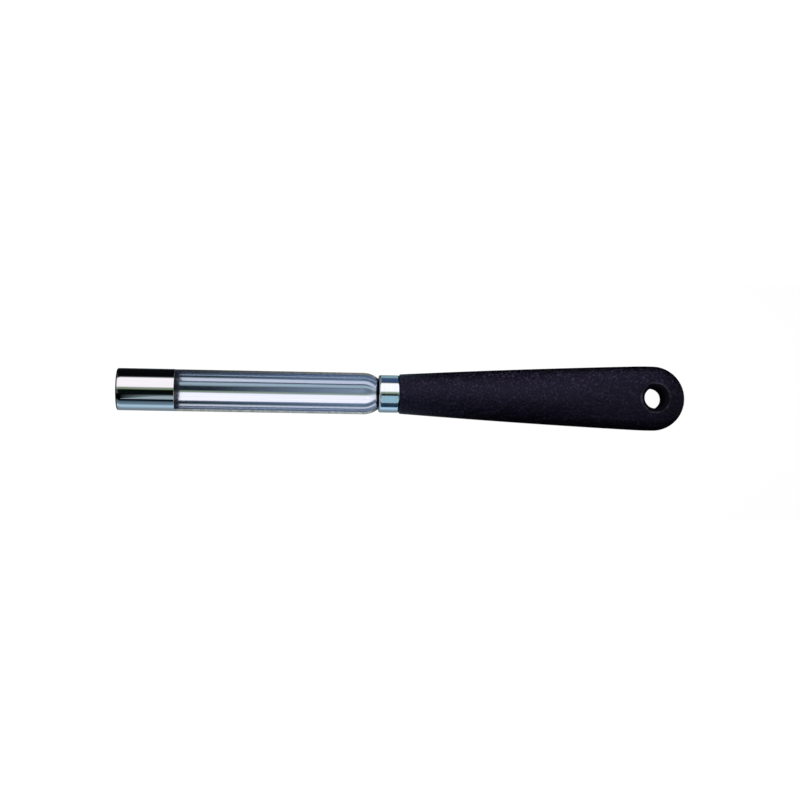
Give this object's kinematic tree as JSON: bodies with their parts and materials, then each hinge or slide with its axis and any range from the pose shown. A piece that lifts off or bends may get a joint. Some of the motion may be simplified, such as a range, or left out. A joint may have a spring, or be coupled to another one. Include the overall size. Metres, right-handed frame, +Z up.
{
  "type": "apple corer",
  "caption": "Apple corer: a round cutting ring on an open half-round steel gutter, set through a short metal ferrule into a flattened black handle with a hang hole.",
  "frame": {"origin": "centre of the cutting ring's mouth, on the ring's axis", "axes": "+X along the corer's axis from the cutting mouth to the handle's end, +Z up out of the open side of the gutter, +Y completes the right-handed frame"},
  "size_m": [0.218, 0.025, 0.016],
  "materials": {
    "polished_steel": "polished stainless steel",
    "ferrule_metal": "satin plated",
    "handle_plastic": "fine matt grain"
  },
  "bodies": {
    "root": {"coring_blade": "polished_steel", "ferrule": "ferrule_metal", "handle": "handle_plastic"}
  },
  "joints": []
}
